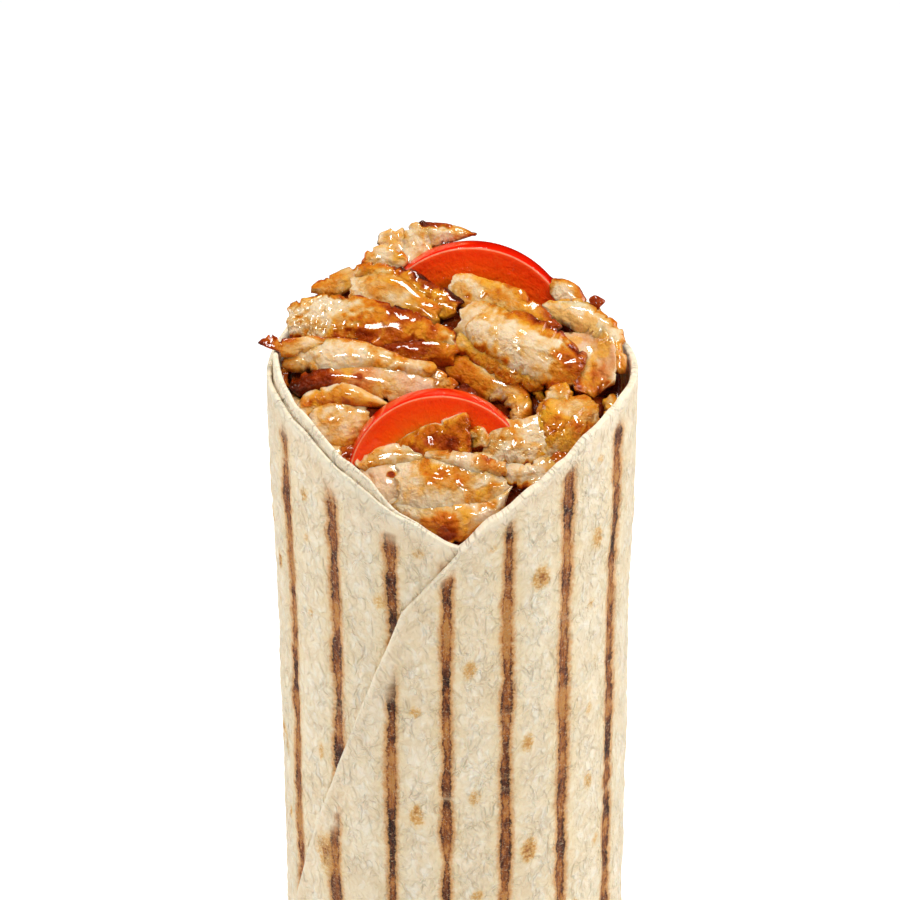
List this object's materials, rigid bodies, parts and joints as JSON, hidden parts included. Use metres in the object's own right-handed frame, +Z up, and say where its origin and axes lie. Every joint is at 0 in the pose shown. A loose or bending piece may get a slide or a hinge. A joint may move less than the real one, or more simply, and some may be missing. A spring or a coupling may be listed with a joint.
{
  "type": "chicken lavash wrap",
  "caption": "Upright rolled lavash wrap with grilled flatbread, a heap of sliced chicken and half slices of tomato at its open end.",
  "frame": {"origin": "centre of the flat folded end, on the surface that the wrap stands on", "axes": "+Z up along the roll, -Y towards the front, where the rim dips to a V and the outer flap's edge starts, +X to the right"},
  "size_m": [0.0662, 0.0654, 0.2026],
  "materials": {
    "lavash_bread": "matt baked flatbread with toasted grill lines",
    "chicken_meat": "moist roasted meat with a thin oily glaze",
    "tomato_flesh": "wet red tomato flesh and smooth skin"
  },
  "bodies": {
    "root": {"lavash": "lavash_bread", "chicken_filling": "chicken_meat", "tomato_slice_front": "tomato_flesh", "tomato_slice_back": "tomato_flesh"}
  },
  "joints": []
}
